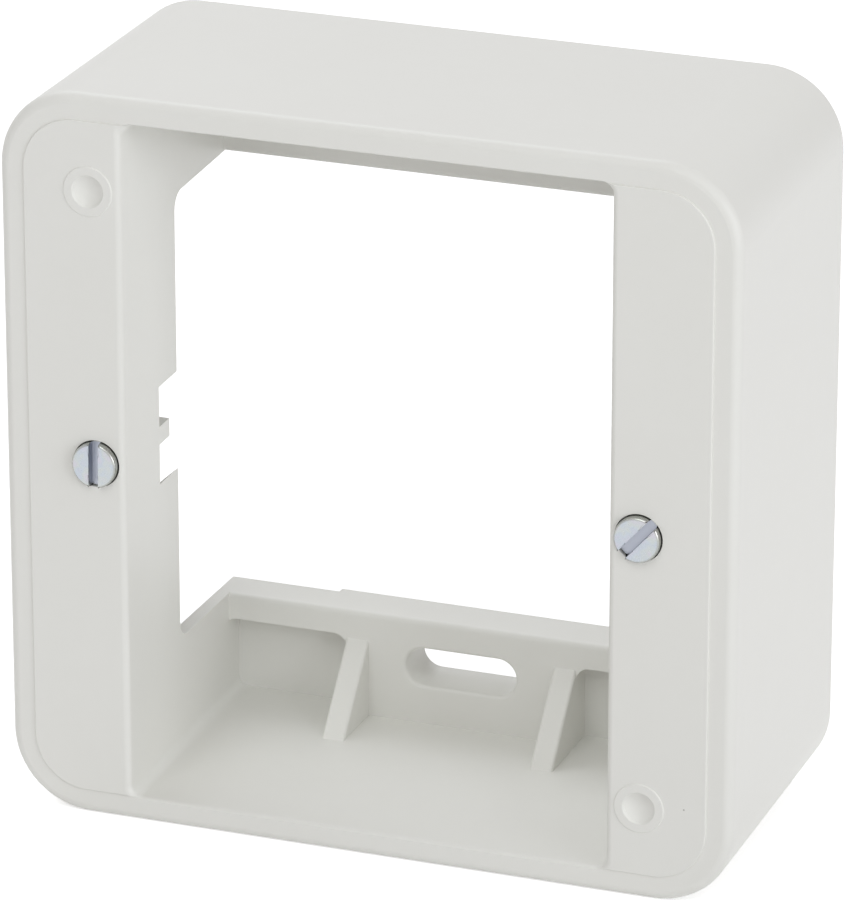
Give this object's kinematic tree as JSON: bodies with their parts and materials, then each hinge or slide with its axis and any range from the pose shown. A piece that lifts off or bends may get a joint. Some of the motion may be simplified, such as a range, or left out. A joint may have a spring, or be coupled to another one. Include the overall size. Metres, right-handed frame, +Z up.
{
  "type": "surface mount frame",
  "caption": "Square moulded frame that stands a socket insert off the wall, with partitions, slotted cross strips and two device screws.",
  "frame": {"origin": "under the middle of the whole part, on the surface that its lower wall stands on", "axes": "+Z up, +Y from the front rim towards the wall, +X to the right seen from the front"},
  "size_m": [0.081, 0.036, 0.081],
  "materials": {
    "white_plastic": "fine matt moulded white plastic",
    "zinc_steel": "bright zinc plated steel"
  },
  "bodies": {
    "root": {"frame": "white_plastic", "screws": "zinc_steel"}
  },
  "joints": []
}
